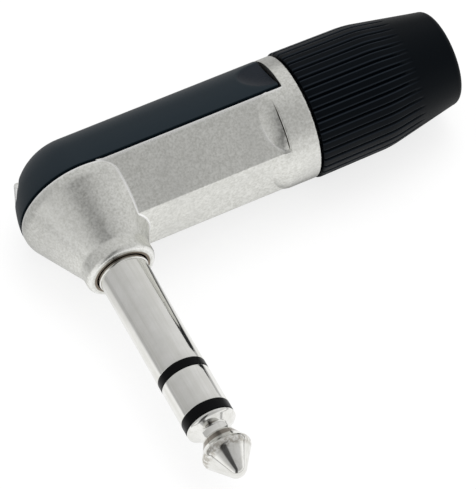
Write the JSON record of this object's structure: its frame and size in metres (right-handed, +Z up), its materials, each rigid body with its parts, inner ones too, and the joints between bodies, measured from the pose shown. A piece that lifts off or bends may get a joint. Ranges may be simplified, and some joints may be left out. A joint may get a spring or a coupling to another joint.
{
  "type": "right-angle 6.35 mm stereo jack plug",
  "caption": "Right-angle cable plug: coaxial tip, ring and sleeve contacts on a nickel elbow housing with a black hinged back cover and a fluted cable gland.",
  "frame": {"origin": "middle of the footprint, on the surface that the plug lies on", "axes": "+X along the barrel from the head towards the cable gland, -Y the way the plug points, +Y towards the back cover, +Z up from the side that it lies on"},
  "size_m": [0.0594, 0.052, 0.0169],
  "materials": {
    "satin_nickel": "satin nickel plating over a die-cast body",
    "bright_nickel": "polished nickel plating over turned brass",
    "tinned_brass": "tinned, dull",
    "cover_plastic": "satin blue-black",
    "insulator_plastic": "smooth black",
    "bushing_plastic": "satin black",
    "chuck_plastic": "plain black"
  },
  "bodies": {
    "plug_body": {"housing": "satin_nickel", "threaded_tail": "satin_nickel", "sleeve_contact": "bright_nickel", "ring_contact": "bright_nickel", "tip_contact": "bright_nickel", "ring_insulator": "insulator_plastic", "tip_insulator": "insulator_plastic", "contact_carrier": "insulator_plastic", "ring_lug": "tinned_brass", "tip_lug": "tinned_brass", "earth_clamp": "tinned_brass"},
    "cover": {"back_cover": "cover_plastic"},
    "chuck": {"chuck": "chuck_plastic"},
    "bushing": {"bushing": "bushing_plastic"}
  },
  "joints": [
    {"name": "cover_hinge", "type": "hinge", "parent": "plug_body", "child": "cover", "pos_m": [-0.02774, 0.02154, 0.00845], "axis": [0, 0, 1], "range_deg": [0, 22]},
    {"name": "gland_travel", "type": "slide", "parent": "plug_body", "child": "chuck", "axis": [1, 0, 0], "range_m": [0, 0.006]},
    {"name": "bushing_turn", "type": "hinge", "parent": "chuck", "child": "bushing", "pos_m": [0.0188, 0.01758, 0.00845], "axis": [1, 0, 0], "range_deg": [0, 2160]}
  ],
  "couplings": [
    {"joint": "gland_travel", "follows": "bushing_turn", "m_per_rad": 0.00015915}
  ]
}
